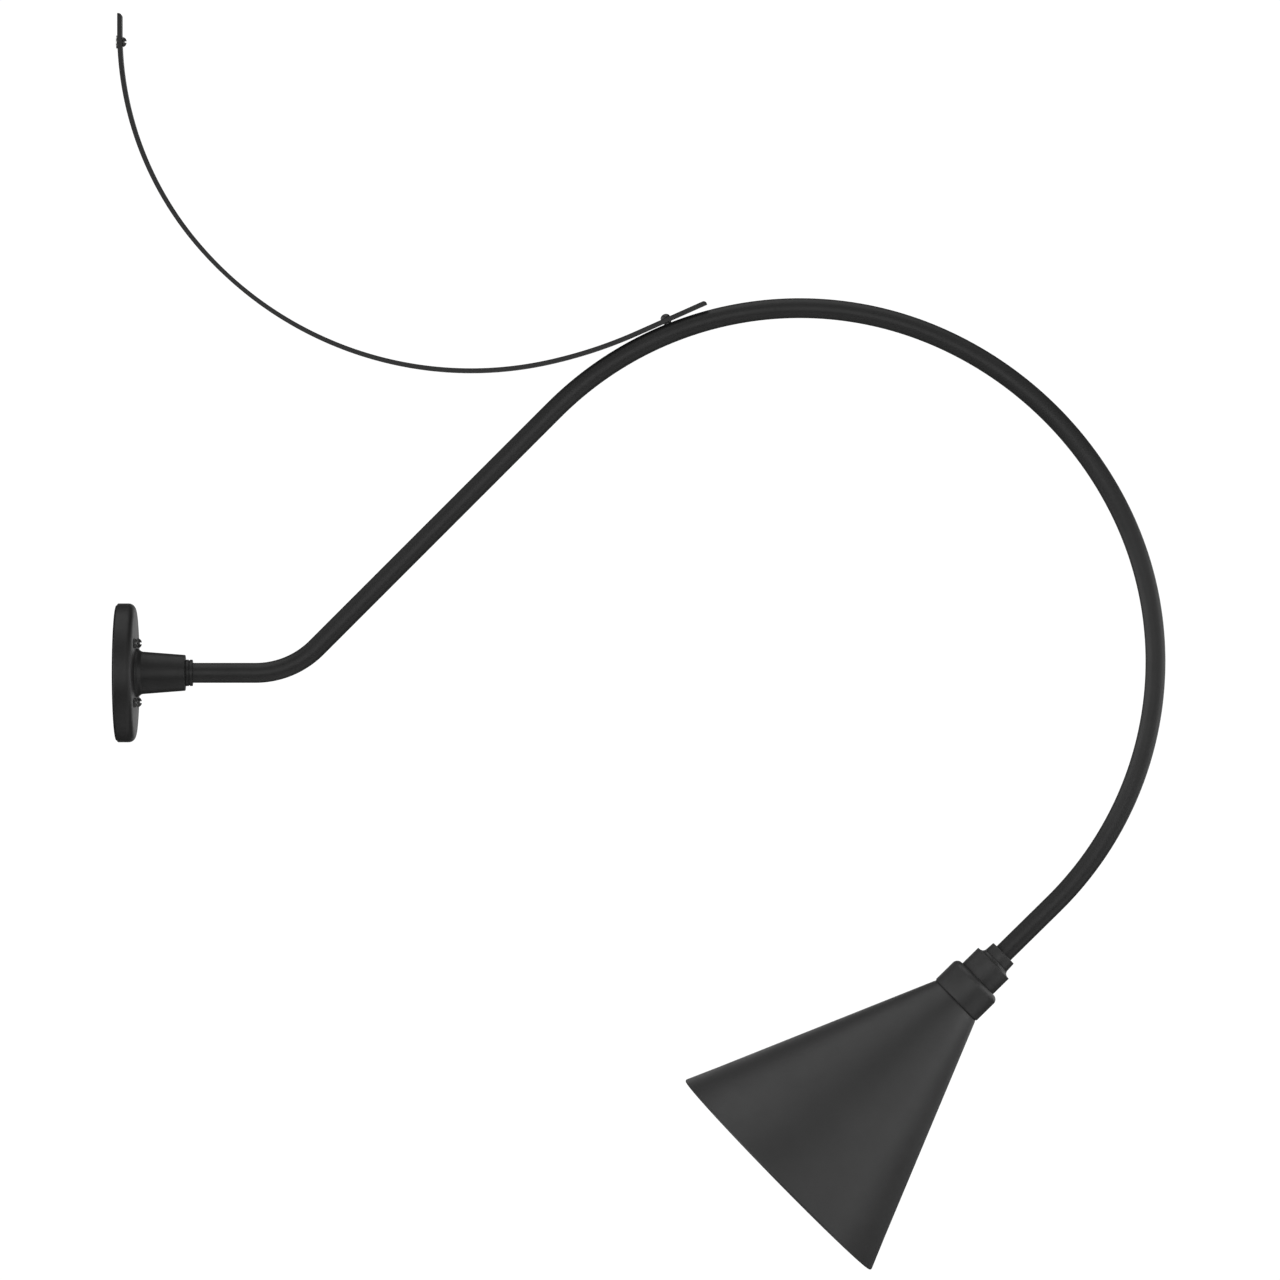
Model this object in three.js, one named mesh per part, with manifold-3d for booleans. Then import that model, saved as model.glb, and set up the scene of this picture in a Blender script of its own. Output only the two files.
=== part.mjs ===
// Gooseneck wall light: a pipe arm on a round wall canopy, a flat stay bar, and a cone shade.
// Millimetres, +Z up. The origin is on the wall, at the centre of the canopy; +X leaves the wall.
// The arm and the stay lie in the plane Y = 0.
import * as THREE from "three";
import { mergeVertices } from "three/addons/utils/BufferGeometryUtils.js";
import Module from "manifold-3d";

// ---- driving dimensions ----

const GAP = 0.3; // clearance between neighbouring pieces
const PAST = 1; // how far a cutter runs past the face it cuts

const PIPE = { radius: 10.65, bore: 8.35, sides: 18, boreSides: 8 }; // half-inch pipe
const WIRE_WAY = 8; // radius of the passage for the leads through the castings
const THREAD_BORE = PIPE.radius + GAP; // where a casting or a nut is screwed on the pipe

// Canopy: distances are from the wall, radii from its axis.
const CANOPY = {
  back: 1.5,
  face: 20.8,
  radius: 74,
  faceRadius: 66.5,
  backChamfer: 1.2,
  cavityRadius: 64,
  cavityEnd: 16.3,
  cavityRound: 4,
  foot: { radius: 26, chamfer: 1, height: 1.6 },
  fillet: { radius: 5.8, at: [28.6, 28.2], from: 243, to: 187 },
  hubTip: 19.1,
  hubChamfer: 0.8,
  hubEnd: 73.8,
  pipeSeat: 44,
};
const WALL_GASKET = { inner: 62.5, outer: 72 };
const SCREW_CIRCLE = 44.45; // radius of the 3 1/2 inch circle of box screws
const WALL_NUT = { from: 74.2, to: 81.6, radius: 14.1, chamfer: 0.6, groove: 0.7 };
const SET_SCREW = { at: 60, radius: 2.5, length: 8.2, socketRadius: 1.3, socketDepth: 2.5 };
const GROUND_SCREW = {
  fromAxis: 32,
  bossRadius: 5,
  bossEnd: 12.8,
  holeRadius: 2,
  holeDepth: 5.6,
  length: 5.4,
  head: { headRadius: 4.2, headHeight: 2.6, shank: 1.7, slotWidth: 1, slotDepth: 1.2 },
};

// Arm: straight out of the canopy, 45 degrees up, then a crook of three arcs over and down.
const ARM = {
  start: CANOPY.pipeSeat + 1,
  firstBendAt: 148.3,
  firstBend: { radius: 92.1, turn: 45 },
  rise: 358.2,
  crook: [
    { radius: 369.3, turn: -69.3 },
    { radius: 390.8, turn: -39.2 },
    { radius: 362.3, turn: -72 },
  ],
  tail: 74.6, // from the end of the crook to the tip of the shade's cone
};

// Stay: down the wall, round in three arcs, then straight along the arm.
const STAY = {
  thickness: 4.8,
  width: 19,
  top: 702.2,
  wallTab: 21,
  sweep: [
    { radius: 346.3, turn: 39 },
    { radius: 382, turn: 63 },
    { radius: 489.9, turn: 12 },
  ],
  armTab: 80.6,
  tipRound: 3.6,
  edge: 0.4,
  screwFromTip: 46.5,
  screwZ: 671.8,
};
const STAY_WASHER_RADIUS = 6.9;
const STAY_SPACER = { radius: 4.2, length: 4 };
const SCREW = { headRadius: 5.3, headHeight: 4.3, shank: 2.4, slotWidth: 1.8, slotDepth: 2.2 };
const SCREW_BORE = SCREW.shank + GAP;
const ARM_SCREW_LENGTH = 12;

// Shade head: distances run down the shade's axis from the tip of its cone.
const PIPE_END = 34;
const SHADE_NUT = { from: 0.2, to: 10.8, top: 15.5, bottom: 16.1, topChamfer: 0.7, bottomChamfer: 0.4 };
const HUB = {
  from: 11.1,
  flareEnd: 16,
  lip: 0.6,
  to: 38.5,
  topRadius: 16.4,
  radius: 23.2,
  spigot: 13.9,
  end: 47.2,
  pipeSeat: 35,
};
const NECK = { from: 38.9, to: 71.1, radius: 30.9, wall: 2.5, shoulder: 6.7, roof: 3.1, insideRound: 3 };
const HUB_NUT = { radius: 19, to: 46.5 };
const TAPPED = 1.8; // radius of a hole that a small screw bites in
const CLEARED = 1.9; // radius of a hole that a small screw passes through
const SHADE_SCREW = { circle: 25, bossRadius: 3.8, bossLength: 11, holeDepth: 9, length: 9 };
const STRAP_SCREW = { circle: 23, bossRadius: 3.4, length: 6 };
const SMALL_SCREW = { headRadius: 2.9, headHeight: 2, shank: 1.5, slotWidth: 0.8, slotDepth: 0.9 };
const CONE = { from: 72.7, to: 337.8, halfAngle: 22.71, wall: 1.4, bead: 1.9, beadProud: 0.38, beadEnd: 3.5 };
const STRAP = { from: 49, to: 50.2, halfLength: 26.5, halfWidth: 5, padRadius: 9, holeRadius: 6 };
const SOCKET = {
  from: 50.5,
  to: 92,
  rearRadius: 17,
  radius: 19,
  cavity: 14.4,
  floor: 62.2,
  edge: 2,
};
const SHADE_OPENING = SOCKET.radius + 1.5; // radius of the hole in the top of the shade
const GASKET_INSET = 1;
const SHELL = { wall: 0.6, ribs: 3, ribDepth: 0.25, fromFloor: 4, belowRim: 2 };
const CONTACT = { radius: 6, thickness: 0.8, tongue: 4, tongueHeight: 3.2 };
const BULB = {
  tip: 67,
  tipRadius: 3,
  insulatorRadius: 5.6,
  insulatorEnd: 71.5,
  baseStart: 70.4,
  baseEnd: 91,
  baseFoot: 6,
  baseRadius: 12.9,
  baseWall: 0.5,
  ribs: 3,
  ribDepth: 0.5,
  plainCollar: 3,
  neck: 11.4,
  // The flare below the ball, as distances out from the neck and on from the base's end.
  flare: [
    [0, -5],
    [0, 3],
    [3.2, 14],
    [9.6, 30],
  ],
  ballFrom: -34,
  radius: 30,
  end: 177,
  wall: 0.9,
};
const WIRE = { radius: 1.5, apart: 2.3, outAt: 1, sides: 8 };
const GROUND_WIRE_ROUTE = [
  [10, -26.3],
  [9.4, -22],
  [6.6, -17],
  [WIRE.outAt, -14],
];

const rad = THREE.MathUtils.degToRad;
const degrees = THREE.MathUtils.radToDeg;

// ---- finishes ----

function finish(color, roughness, metalness) {
  return () => new THREE.MeshStandardMaterial({ color, roughness, metalness });
}

const blackPaint = finish(0x3a3a3b, 0.55, 0.3);
const darkSteel = finish(0x2c2c2d, 0.45, 0.7);
const blackRubber = finish(0x1d1d1d, 0.9, 0);
const zincSteel = finish(0xb4b6b8, 0.35, 0.9);
const greenSteel = finish(0x2f7d45, 0.4, 0.6);
const brass = finish(0xc79b4b, 0.35, 0.9);
const porcelain = finish(0xf0eee6, 0.25, 0);
const frostedGlass = finish(0xf5f3ec, 0.3, 0);
const whiteSleeve = finish(0xe6e6e2, 0.5, 0);
const blackSleeve = finish(0x202020, 0.5, 0);
const greenSleeve = finish(0x2b7a3d, 0.5, 0);

// ---- solids ----

const wasm = await Module();
wasm.setup();

// A closed three.js geometry as a solid that faces outwards.
function solid(geometry) {
  const bare = new THREE.BufferGeometry();
  bare.setAttribute("position", geometry.getAttribute("position"));
  bare.setIndex(geometry.index);
  const merged = mergeVertices(bare, 1e-4);
  const corners = merged.index.array;
  const triangles = [];
  for (let i = 0; i < corners.length; i += 3) {
    const [a, b, c] = [corners[i], corners[i + 1], corners[i + 2]];
    if (a !== b && b !== c && c !== a) triangles.push([a, b, c]);
  }
  const vertProperties = new Float32Array(merged.getAttribute("position").array);
  const build = (list) => {
    const triVerts = new Uint32Array(list.flat());
    return new wasm.Manifold(new wasm.Mesh({ numProp: 3, vertProperties, triVerts }));
  };
  const made = build(triangles);
  return made.volume() > 0 ? made : build(triangles.map(([a, b, c]) => [a, c, b]));
}

function geometryOf(body) {
  const { vertProperties, triVerts } = body.getMesh();
  const geometry = new THREE.BufferGeometry();
  geometry.setAttribute("position", new THREE.BufferAttribute(new Float32Array(vertProperties), 3));
  geometry.setIndex(new THREE.BufferAttribute(new Uint32Array(triVerts), 1));
  geometry.computeVertexNormals();
  return geometry;
}

function named(name, body, makeMaterial) {
  const mesh = new THREE.Mesh(geometryOf(body), makeMaterial());
  mesh.name = name;
  return mesh;
}

function less(body, cutters) {
  return cutters.reduce((rest, cutter) => rest.subtract(cutter), body);
}

function joined(body, others) {
  return others.reduce((whole, other) => whole.add(other), body);
}

// A body turned round the Z axis from a closed outline of [radius, z] points.
function turned(outline, sides = 28) {
  const points = [...outline, outline[0]].map(([r, z]) => new THREE.Vector2(r, z));
  return solid(new THREE.LatheGeometry(points, sides).rotateX(Math.PI / 2).scale(1, -1, 1));
}

// The outline of a ring between two radii and two heights.
function ringOutline(inner, outer, from, to) {
  return [
    [inner, from],
    [outer, from],
    [outer, to],
    [inner, to],
  ];
}

function rod(radius, from, to, { x = 0, y = 0, sides = 20 } = {}) {
  const geometry = new THREE.CylinderGeometry(radius, radius, to - from, sides);
  return solid(geometry.rotateX(Math.PI / 2).translate(x, y, (from + to) / 2));
}

function rods(places, radius, from, to, sides) {
  return places.map((place) => rod(radius, from, to, { ...place, sides }));
}

function block(width, depth, height, z) {
  return solid(new THREE.BoxGeometry(width, depth, height).translate(0, 0, z));
}

// Points on an arc, as [x, y] pairs; angles in degrees.
function arc(x, y, radius, from, to, steps) {
  return Array.from({ length: steps + 1 }, (_, i) => {
    const angle = rad(from + ((to - from) * i) / steps);
    return [x + radius * Math.cos(angle), y + radius * Math.sin(angle)];
  });
}

function circleShape(radius, sides) {
  const points = arc(0, 0, radius, 0, 360 - 360 / sides, sides - 1);
  return new THREE.Shape(points.map(([x, y]) => new THREE.Vector2(x, y)));
}

// count places evenly round the Z axis at a radius.
function around(count, radius, firstAngle) {
  return Array.from({ length: count }, (_, i) => {
    const angle = rad(firstAngle + (i * 360) / count);
    return { x: radius * Math.cos(angle), y: radius * Math.sin(angle) };
  });
}

// A path of straight stretches and arcs, each tangent to the last, in a plane of constant Y.
class BentPath extends THREE.Curve {
  constructor(x, z, headingDegrees, stretches, { y = 0, stepDegrees = 6 } = {}) {
    super();
    this.y = y;
    this.places = [{ x, z, heading: rad(headingDegrees) }];
    for (const { length = 0, radius = 0, turn = 0 } of stretches) {
      const steps = Math.max(1, Math.ceil(Math.abs(turn) / stepDegrees));
      for (let i = 0; i < steps; i += 1) this.step(length, Math.sign(turn) * radius, rad(turn) / steps);
    }
  }

  // Goes straight by length, or along an arc; a positive radius bends to the left.
  step(length, radius, turn) {
    const { x, z, heading } = this.end;
    const next = heading + turn;
    this.places.push({
      x: x + length * Math.cos(heading) + radius * (Math.sin(next) - Math.sin(heading)),
      z: z + length * Math.sin(heading) - radius * (Math.cos(next) - Math.cos(heading)),
      heading: next,
    });
  }

  get end() {
    return this.places.at(-1);
  }

  get steps() {
    return this.places.length - 1;
  }

  // Runs the first and last stretches on a little way.
  extended(by) {
    const moved = (place, distance) => ({
      x: place.x + distance * Math.cos(place.heading),
      z: place.z + distance * Math.sin(place.heading),
      heading: place.heading,
    });
    this.places[0] = moved(this.places[0], -by);
    this.places[this.steps] = moved(this.end, by);
    return this;
  }

  // The curve parameter counts the places, so that a straight stretch takes one step.
  getPointAt(t) {
    const { x, z } = this.places[Math.round(t * this.steps)];
    return new THREE.Vector3(x, this.y, z);
  }

  getTangentAt(t) {
    const { heading } = this.places[Math.round(t * this.steps)];
    return new THREE.Vector3(Math.cos(heading), 0, Math.sin(heading));
  }
}

function sweptDisc(radius, path, sides) {
  const options = { steps: path.steps, extrudePath: path, bevelEnabled: false };
  return solid(new THREE.ExtrudeGeometry(circleShape(radius, sides), options));
}

// A slotted round-head screw: its seat at z = 0, its head above, its slot along Y.
function roundHeadScrew(length, { headRadius, headHeight, shank, slotWidth, slotDepth } = SCREW) {
  const dome = arc(0, 0, 1, 18, 90, 3).map(([r, z]) => [r * headRadius, z * headHeight]);
  dome[dome.length - 1][0] = 0;
  const outline = [[0, -length], [shank, -length], [shank, 0], [headRadius, 0], ...dome];
  return turned(outline, 14).subtract(block(slotWidth, headRadius * 3, slotDepth * 2, headHeight));
}

// A group whose +Z points along a heading in the XZ plane.
function turnedGroup(x, z, headingDegrees) {
  const group = new THREE.Group();
  group.position.set(x, 0, z);
  group.rotation.y = rad(90 - headingDegrees);
  return group;
}

// A solid of such a group, moved to the part's own frame.
function placed(body, group) {
  group.updateMatrix();
  return solid(geometryOf(body).applyMatrix4(group.matrix));
}

const light = new THREE.Group();

// ---- wall canopy and what fastens it ----

const wall = turnedGroup(0, 0, 0);
const canopyScrewPlaces = around(4, SCREW_CIRCLE, 45);
const groundPlace = { x: GROUND_SCREW.fromAxis, y: 0 };
light.add(wall);

// A rod across the canopy's hub, out along +Y.
function radialRod(radius, from, to, sides) {
  const geometry = new THREE.CylinderGeometry(radius, radius, to - from, sides);
  return solid(geometry.translate(0, (from + to) / 2, SET_SCREW.at));
}

function wallCanopy() {
  const c = CANOPY;
  const edge = c.radius - c.faceRadius;
  const body = turned(
    [
      [THREAD_BORE, c.pipeSeat],
      [WIRE_WAY, c.pipeSeat],
      [WIRE_WAY, c.cavityEnd],
      [c.cavityRadius - c.cavityRound, c.cavityEnd],
      [c.cavityRadius - c.cavityRound / 4, c.cavityEnd - c.cavityRound / 2],
      [c.cavityRadius, c.back],
      [c.radius - c.backChamfer, c.back],
      [c.radius, c.back + c.backChamfer],
      ...arc(c.faceRadius, c.face - edge, edge, 0, 90, 5),
      [c.foot.radius + c.foot.chamfer, c.face],
      [c.foot.radius, c.face + c.foot.height],
      ...arc(...c.fillet.at, c.fillet.radius, c.fillet.from, c.fillet.to, 4),
      [c.hubTip, c.hubEnd - c.hubChamfer],
      [c.hubTip - c.hubChamfer, c.hubEnd],
      [THREAD_BORE, c.hubEnd],
    ],
    36,
  );
  const g = GROUND_SCREW;
  const boss = rod(g.bossRadius, g.bossEnd, c.cavityEnd + PAST, groundPlace);
  return less(body.add(boss), [
    ...rods(canopyScrewPlaces, SCREW_BORE, 0, c.face + PAST, 14),
    rod(g.holeRadius, g.bossEnd - PAST, g.bossEnd + g.holeDepth, groundPlace),
    radialRod(SET_SCREW.radius + GAP, THREAD_BORE - PAST, c.foot.radius, 16),
  ]);
}

function wallGasket() {
  return turned(ringOutline(WALL_GASKET.inner, WALL_GASKET.outer, 0, CANOPY.back - GAP), 36);
}

// A round lock nut on the pipe, with a groove round its middle.
function wallLockNut() {
  const { from, to, radius, chamfer, groove } = WALL_NUT;
  const middle = (from + to) / 2;
  return turned(
    [
      [THREAD_BORE, from],
      [radius - chamfer, from],
      [radius, from + chamfer],
      [radius, middle - groove],
      [radius - groove, middle],
      [radius, middle + groove],
      [radius, to - chamfer],
      [radius - chamfer, to],
      [THREAD_BORE, to],
    ],
    24,
  );
}

function setScrew() {
  const { radius, length, socketRadius, socketDepth } = SET_SCREW;
  const end = THREAD_BORE + length;
  const socket = radialRod(socketRadius, end - socketDepth, end + PAST, 6);
  return radialRod(radius, THREAD_BORE, end, 16).subtract(socket);
}

wall.add(named("wall_canopy", wallCanopy(), blackPaint));
wall.add(named("wall_gasket", wallGasket(), blackRubber));
wall.add(named("wall_lock_nut", wallLockNut(), blackPaint));
wall.add(named("arm_set_screw", setScrew(), darkSteel));

canopyScrewPlaces.forEach(({ x, y }, i) => {
  const screw = named(`canopy_screw_${i + 1}`, roundHeadScrew(CANOPY.face - GAP), darkSteel);
  screw.position.set(x, y, CANOPY.face + GAP);
  wall.add(screw);
});

const groundScrew = roundHeadScrew(GROUND_SCREW.length, GROUND_SCREW.head);
const groundScrewMesh = named("ground_screw", groundScrew, greenSteel);
groundScrewMesh.position.set(groundPlace.x, groundPlace.y, GROUND_SCREW.bossEnd - GAP);
groundScrewMesh.rotation.x = Math.PI;
wall.add(groundScrewMesh);

// ---- arm ----

// The arm's path from a start on the canopy's axis to a distance past the end of its crook.
function armPath(start, tail, options) {
  const stub = { length: ARM.firstBendAt - start };
  const stretches = [stub, ARM.firstBend, { length: ARM.rise }, ...ARM.crook, { length: tail }];
  return new BentPath(start, 0, 0, stretches, options);
}

const armToTip = armPath(ARM.start, ARM.tail);
const shadeTip = armToTip.end;

function gooseneckArm() {
  const tail = ARM.tail + PIPE_END;
  const outside = sweptDisc(PIPE.radius, armPath(ARM.start, tail), PIPE.sides);
  const inside = sweptDisc(PIPE.bore, armPath(ARM.start, tail).extended(2 * PAST), PIPE.boreSides);
  return outside.subtract(inside);
}

// ---- stay ----

const stayPath = new BentPath(
  CANOPY.back + STAY.thickness / 2,
  STAY.top,
  -90,
  [{ length: STAY.wallTab }, ...STAY.sweep, { length: STAY.armTab }],
  { stepDegrees: 4 },
);

// The point a way along and a way left of a place on a path.
function offset({ x, z, heading }, along, left) {
  return [
    x + along * Math.cos(heading) - left * Math.sin(heading),
    z + along * Math.sin(heading) + left * Math.cos(heading),
  ];
}

// The bar seen from the side: its room side is on the left of the path, and rounds off at both tips.
function stayOutline() {
  const half = STAY.thickness / 2;
  const r = STAY.tipRound;
  const tip = arc(-r, half - r, r, 0, 90, 5);
  const { places, end } = stayPath;
  const between = places.slice(1, -1);
  return [
    ...tip.map(([along, left]) => offset(places[0], -along, left)),
    ...between.map((place) => offset(place, 0, half)),
    ...tip.map(([along, left]) => offset(end, along, left)).reverse(),
    offset(end, 0, -half),
    ...between.map((place) => offset(place, 0, -half)).reverse(),
    offset(places[0], 0, -half),
  ];
}

function stayBar(holes) {
  const { edge, width } = STAY;
  const shape = new THREE.Shape(stayOutline().map(([x, z]) => new THREE.Vector2(x, z)));
  const geometry = new THREE.ExtrudeGeometry(shape, {
    depth: width - 2 * edge,
    bevelThickness: edge,
    bevelSize: edge,
    bevelOffset: -edge,
    bevelSegments: 1,
  });
  return less(solid(geometry.translate(0, 0, edge - width / 2).rotateX(Math.PI / 2)), holes);
}

// The seat of a stay screw: the group's +Z points away from the bar.
function staySeat(place, along, lift) {
  return turnedGroup(...offset(place, along, lift), degrees(place.heading) + 90);
}

const wallScrewAlong = STAY.top - STAY.screwZ;
const stayWallSeat = staySeat(stayPath.places[0], wallScrewAlong, STAY.thickness / 2 + 2 * GAP);
const stayArmSeat = staySeat(stayPath.end, -STAY.screwFromTip, STAY.thickness / 2 + GAP);
const drill = rod(SCREW_BORE, -ARM_SCREW_LENGTH - 3 * PAST, 2 * PAST);
const drillAtArm = placed(drill, stayArmSeat);
const drillAtWall = placed(drill, stayWallSeat);
const wallScrewLength = stayWallSeat.position.x - GAP / 2;

function stayWasher() {
  const from = -stayWallSeat.position.x;
  const to = -(STAY.thickness + 3 * GAP);
  return turned(ringOutline(SCREW_BORE, STAY_WASHER_RADIUS, from, to));
}

// A short collar between the bar and the arm, saddled to fit the pipe.
function staySpacer() {
  const top = -(STAY.thickness + 2 * GAP);
  const collar = turned(ringOutline(SCREW_BORE, STAY_SPACER.radius, top - STAY_SPACER.length, top), 20);
  return placed(collar, stayArmSeat).subtract(sweptDisc(PIPE.radius + GAP, armToTip, PIPE.sides));
}

light.add(stayWallSeat, stayArmSeat);
stayWallSeat.add(named("stay_wall_screw", roundHeadScrew(wallScrewLength), darkSteel));
stayWallSeat.add(named("stay_washer", stayWasher(), zincSteel));
const stayArmScrew = named("stay_arm_screw", roundHeadScrew(ARM_SCREW_LENGTH), darkSteel);
stayArmScrew.rotation.z = Math.PI / 2; // its slot runs along the bar
stayArmSeat.add(stayArmScrew);
light.add(named("gooseneck_arm", gooseneckArm().subtract(drillAtArm), blackPaint));
light.add(named("stay_bar", stayBar([drillAtArm, drillAtWall]), blackPaint));
light.add(named("stay_spacer", staySpacer(), darkSteel));

// ---- shade head ----

const head = turnedGroup(shadeTip.x, shadeTip.z, degrees(shadeTip.heading));
const shadeScrewPlaces = around(3, SHADE_SCREW.circle, 60);
const strapScrewPlaces = around(2, STRAP_SCREW.circle, 90);
const neckRoof = NECK.from + NECK.roof;
light.add(head);

function shadeLockNut() {
  const { from, to, top, bottom, topChamfer, bottomChamfer } = SHADE_NUT;
  return turned(
    [
      [THREAD_BORE, from],
      [top - topChamfer, from],
      [top, from + topChamfer],
      [bottom, to - bottomChamfer],
      [bottom - bottomChamfer, to],
      [THREAD_BORE, to],
    ],
    24,
  );
}

// Its top is a hollow flare, a quarter of an ellipse.
function shadeHub() {
  const h = HUB;
  const flareOut = h.radius - h.lip - h.topRadius;
  const flareDown = h.flareEnd - h.from - h.lip;
  const flare = arc(0, 0, 1, 180, 90, 4).map(([x, y]) => [
    h.radius - h.lip + x * flareOut,
    h.from + y * flareDown,
  ]);
  return turned([
    [THREAD_BORE, h.from],
    ...flare,
    [h.radius, h.flareEnd],
    [h.radius, h.to],
    [h.spigot, h.to],
    [h.spigot, h.end],
    [WIRE_WAY, h.end],
    [WIRE_WAY, h.pipeSeat],
    [THREAD_BORE, h.pipeSeat],
  ]);
}

// The nut inside the neck that holds it up against the hub.
function hubNut() {
  const from = neckRoof + GAP;
  const bore = rod(HUB.spigot + GAP, from - PAST, HUB_NUT.to + PAST, { sides: 36 });
  return rod(HUB_NUT.radius, from, HUB_NUT.to, { sides: 6 }).subtract(bore);
}

function shadeNeck() {
  const n = NECK;
  const inside = n.radius - n.wall;
  const hole = HUB.spigot + GAP;
  const body = turned(
    [
      [hole, neckRoof],
      [hole, n.from],
      ...arc(n.radius - n.shoulder, n.from + n.shoulder, n.shoulder, -90, 0, 6),
      [n.radius, n.to],
      [inside, n.to],
      [inside, neckRoof + n.insideRound],
      [inside - n.insideRound, neckRoof],
    ],
    32,
  );
  const bosses = [
    ...rods(strapScrewPlaces, STRAP_SCREW.bossRadius, neckRoof - PAST, STRAP.from - GAP, 12),
    ...rods(shadeScrewPlaces, SHADE_SCREW.bossRadius, n.to - SHADE_SCREW.bossLength, n.to, 12),
  ];
  return less(joined(body, bosses), [
    ...rods(strapScrewPlaces, TAPPED, neckRoof + PAST, STRAP.from, 10),
    ...rods(shadeScrewPlaces, TAPPED, n.to - SHADE_SCREW.holeDepth, n.to + PAST, 10),
  ]);
}

function shadeGasket() {
  const from = NECK.to + GAP;
  const to = CONE.from - GAP;
  const ring = turned(ringOutline(SHADE_OPENING, NECK.radius - GASKET_INSET, from, to));
  return less(ring, rods(shadeScrewPlaces, CLEARED, from - PAST, to + PAST, 10));
}

// A thin cone with a flat ring on top for its screws, and a rolled bead round its mouth.
function coneShade() {
  const { from, to, halfAngle, wall: thickness, bead, beadProud, beadEnd } = CONE;
  const slope = Math.tan(rad(halfAngle));
  const perCos = 1 / Math.cos(rad(halfAngle));
  const beadZ = to - bead;
  const beadRadius = beadZ * slope - bead * perCos + beadProud;
  const insideAt = (z) => [z * slope - thickness * perCos, z];
  const shell = turned(
    [
      [SHADE_OPENING, from],
      [from * slope, from],
      ...arc(beadRadius, beadZ, bead, -halfAngle, 225, 6),
      insideAt(beadZ - beadEnd),
      insideAt(from + thickness),
      [SHADE_OPENING, from + thickness],
    ],
    44,
  );
  return less(shell, rods(shadeScrewPlaces, CLEARED, from - PAST, from + thickness + PAST, 10));
}

// The strap across the neck that carries the socket.
function socketStrap() {
  const { from, to, halfLength, halfWidth, padRadius, holeRadius } = STRAP;
  const run = halfLength - halfWidth;
  const outline = [...arc(0, run, halfWidth, 0, 180, 6), ...arc(0, -run, halfWidth, 180, 360, 6)];
  const shape = new THREE.Shape(outline.map(([x, y]) => new THREE.Vector2(x, y)));
  const plate = new THREE.ExtrudeGeometry(shape, { depth: to - from, bevelEnabled: false });
  const padded = solid(plate.translate(0, 0, from)).add(rod(padRadius, from, to, { sides: 28 }));
  return less(padded, [
    rod(holeRadius, from - PAST, to + PAST),
    ...rods(strapScrewPlaces, CLEARED, from - PAST, to + PAST, 10),
  ]);
}

function socketBody() {
  const s = SOCKET;
  return turned(
    [
      [0, s.from],
      [s.rearRadius - s.edge / 2, s.from],
      [s.rearRadius, s.from + s.edge / 2],
      [s.rearRadius, s.floor],
      [s.radius, s.floor + 1.5 * s.edge],
      [s.radius, s.to - s.edge],
      [s.radius - s.edge, s.to],
      [s.cavity, s.to],
      [s.cavity, s.floor],
      [0, s.floor],
    ],
    24,
  );
}

// Points down a ribbed wall, from one crest to another, with a trough between each pair.
function ribbed(radius, depth, ribs, from, to) {
  return Array.from({ length: 2 * ribs + 1 }, (_, i) => [
    radius - (i % 2) * depth,
    from + ((to - from) * i) / (2 * ribs),
  ]);
}

function socketShell() {
  const outer = SOCKET.cavity - GAP;
  const from = SOCKET.floor + SHELL.fromFloor;
  const to = SOCKET.to - SHELL.belowRim;
  const outside = ribbed(outer, SHELL.ribDepth, SHELL.ribs, from, to);
  const inside = ribbed(outer - SHELL.wall, SHELL.ribDepth, SHELL.ribs, from, to);
  return turned([...outside, ...inside.reverse()], 20);
}

function socketContact() {
  const floor = SOCKET.floor + GAP;
  const { radius, thickness, tongue, tongueHeight: height } = CONTACT;
  return rod(radius, floor, floor + thickness).add(block(tongue, tongue, height, floor + height / 2));
}

function addSmallScrews(prefix, places, length, seat) {
  places.forEach(({ x, y }, i) => {
    const screw = named(`${prefix}_${i + 1}`, roundHeadScrew(length, SMALL_SCREW), zincSteel);
    screw.position.set(x, y, seat + GAP);
    head.add(screw);
  });
}

head.add(named("shade_lock_nut", shadeLockNut(), blackPaint));
head.add(named("shade_hub", shadeHub(), blackPaint));
head.add(named("hub_nut", hubNut(), zincSteel));
head.add(named("shade_neck", shadeNeck(), blackPaint));
head.add(named("shade_gasket", shadeGasket(), blackRubber));
head.add(named("cone_shade", coneShade(), blackPaint));
addSmallScrews("shade_screw", shadeScrewPlaces, SHADE_SCREW.length, CONE.from + CONE.wall);
head.add(named("socket_strap", socketStrap(), zincSteel));
addSmallScrews("strap_screw", strapScrewPlaces, STRAP_SCREW.length, STRAP.to);
head.add(named("socket_body", socketBody(), porcelain));
head.add(named("socket_shell", socketShell(), brass));
head.add(named("socket_contact", socketContact(), brass));

// ---- bulb ----

function bulbBase() {
  const b = BULB;
  const crest = b.baseRadius;
  const trough = crest - b.ribDepth;
  const collar = b.baseEnd - b.plainCollar;
  const thread = ribbed(trough, -b.ribDepth, b.ribs, b.baseStart, collar);
  return turned(
    [
      [b.baseFoot, b.baseStart],
      ...thread,
      [crest, b.baseEnd],
      [crest - b.baseWall, b.baseEnd],
      [trough - b.baseWall, collar],
      [trough - b.baseWall, b.baseStart + b.baseWall],
      [b.baseFoot, b.baseStart + b.baseWall],
    ],
    20,
  );
}

function bulbContact() {
  const { tip, tipRadius, insulatorRadius: radius, insulatorEnd: end } = BULB;
  return turned(
    [
      [0, tip],
      [tipRadius, tip],
      [radius - 1, tip + 1],
      [radius, tip + tipRadius],
      [radius, end],
      [0, end],
    ],
    20,
  );
}

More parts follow.
